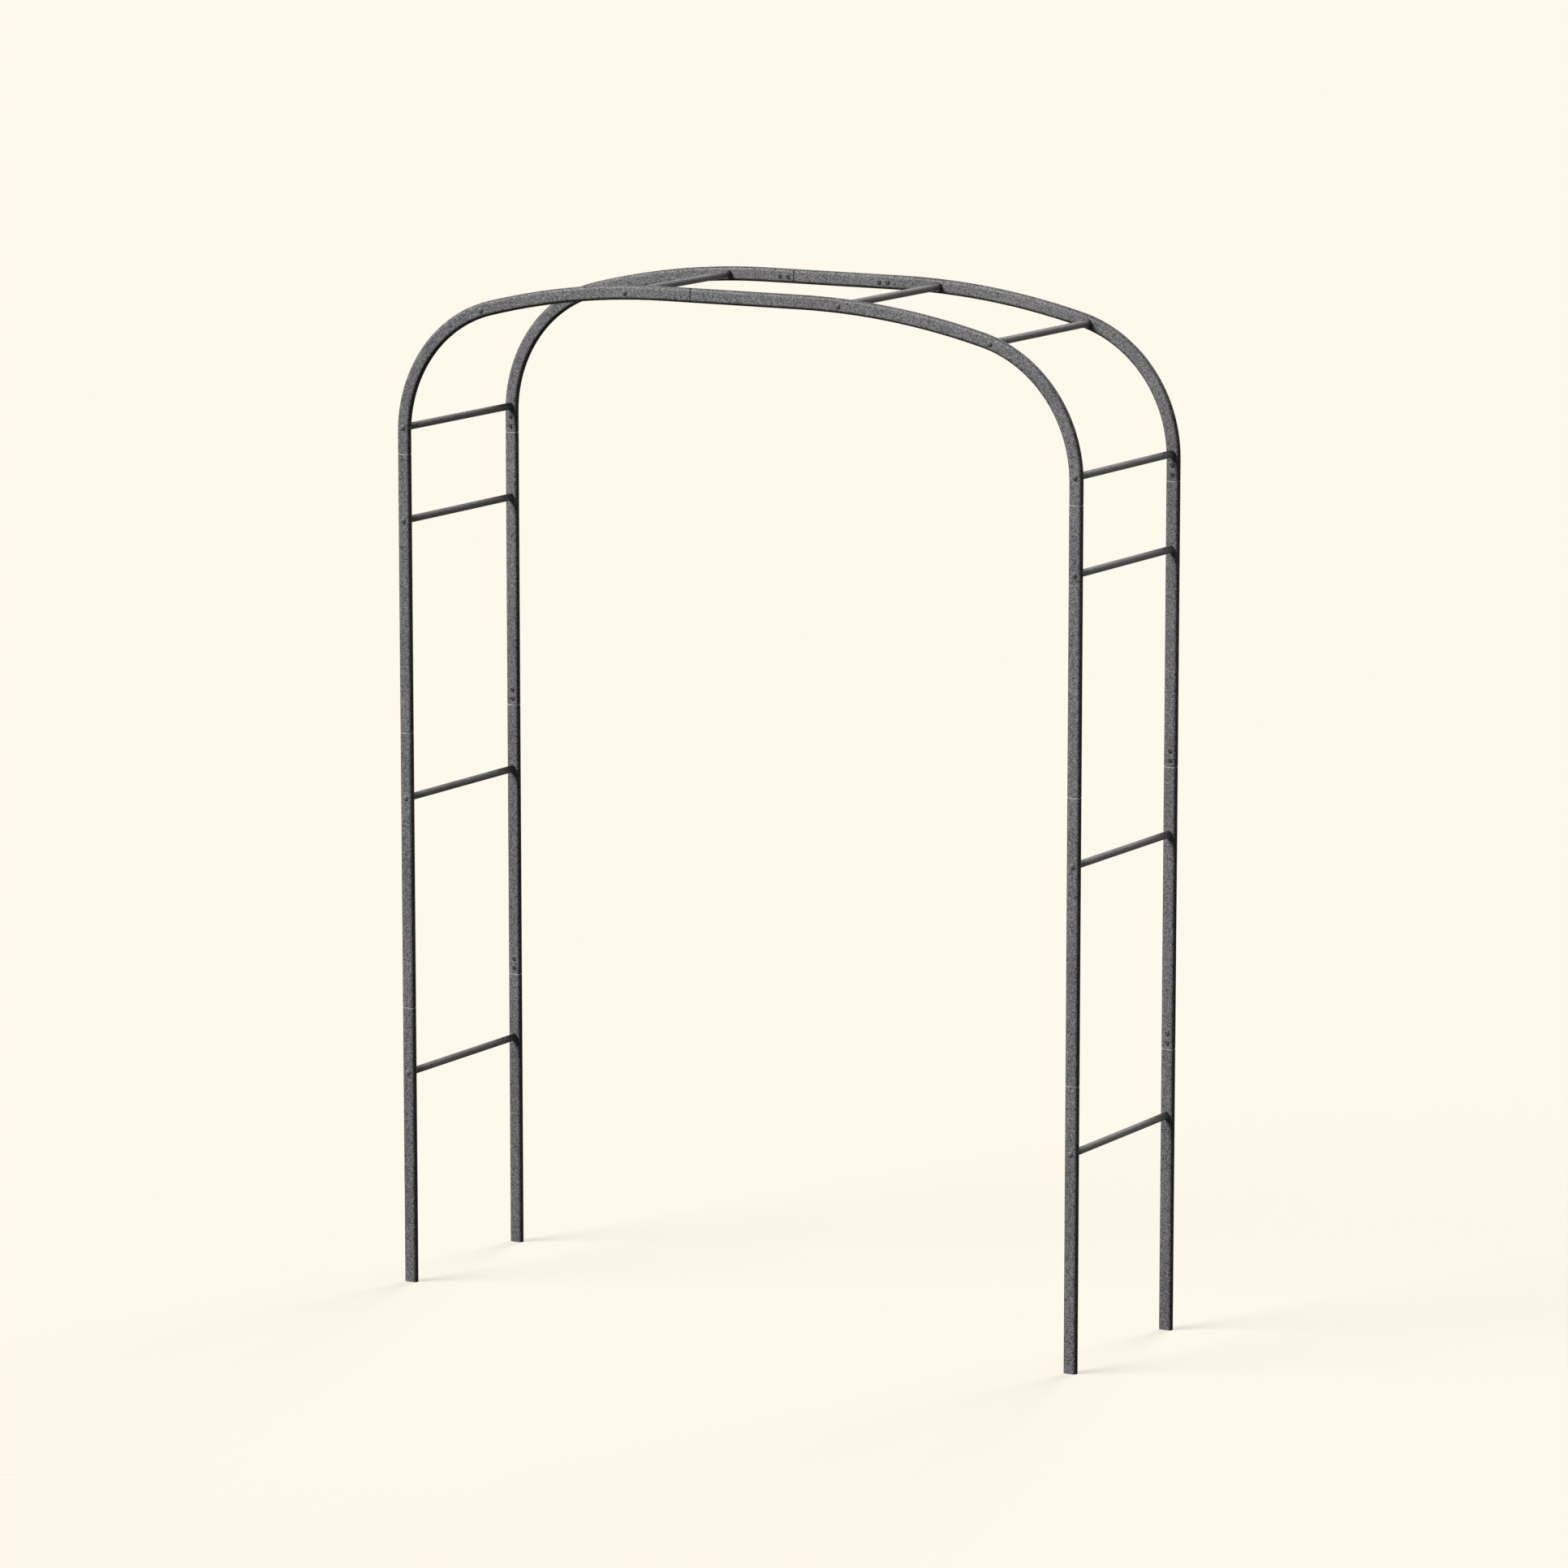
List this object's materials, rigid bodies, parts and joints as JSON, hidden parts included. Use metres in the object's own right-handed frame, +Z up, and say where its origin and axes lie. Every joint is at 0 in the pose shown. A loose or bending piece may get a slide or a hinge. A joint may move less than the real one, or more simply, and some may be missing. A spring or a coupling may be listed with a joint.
{
  "type": "metal trellis arch",
  "caption": "Free-standing walk-through garden arch: a front and a back frame of bolted oval tube, with straight posts and a softly curved top, tied by round ladder rungs.",
  "frame": {"origin": "on the ground, midway between the four feet", "axes": "+Z up; X across the walkway from the left posts to the right posts; +Y through the walkway from the front frame to the back frame"},
  "size_m": [1.6, 0.441, 2.1403],
  "materials": {
    "painted_tube": "dark grey textured (hammer-grain) powder coat, low sheen",
    "painted_rung": "dark grey textured powder coat, slightly smoother than the posts",
    "painted_fastener": "dark grey coated screw and bolt heads",
    "plated_steel": "zinc-plated, hidden inside the tubes"
  },
  "bodies": {
    "root": {"back_crown_connector": "painted_tube", "back_joint_screws": "painted_fastener", "back_left_corner_tube": "painted_tube", "back_left_foot_section": "painted_tube", "back_left_middle_section": "painted_tube", "back_left_upper_section": "painted_tube", "back_right_corner_tube": "painted_tube", "back_right_foot_section": "painted_tube", "back_right_middle_section": "painted_tube", "back_right_upper_section": "painted_tube", "back_rung_bolts": "painted_fastener", "back_rung_plugs": "plated_steel", "back_weld_nuts": "plated_steel", "front_crown_connector": "painted_tube", "front_joint_screws": "painted_fastener", "front_left_corner_tube": "painted_tube", "front_left_foot_section": "painted_tube", "front_left_middle_section": "painted_tube", "front_left_upper_section": "painted_tube", "front_right_corner_tube": "painted_tube", "front_right_foot_section": "painted_tube", "front_right_middle_section": "painted_tube", "front_right_upper_section": "painted_tube", "front_rung_bolts": "painted_fastener", "front_rung_plugs": "plated_steel", "front_weld_nuts": "plated_steel", "left_corner_rung": "painted_rung", "left_crown_rung": "painted_rung", "left_foot_rung": "painted_rung", "left_middle_rung": "painted_rung", "left_shoulder_rung": "painted_rung", "left_upper_rung": "painted_rung", "right_corner_rung": "painted_rung", "right_crown_rung": "painted_rung", "right_foot_rung": "painted_rung", "right_middle_rung": "painted_rung", "right_shoulder_rung": "painted_rung", "right_upper_rung": "painted_rung"}
  },
  "joints": []
}
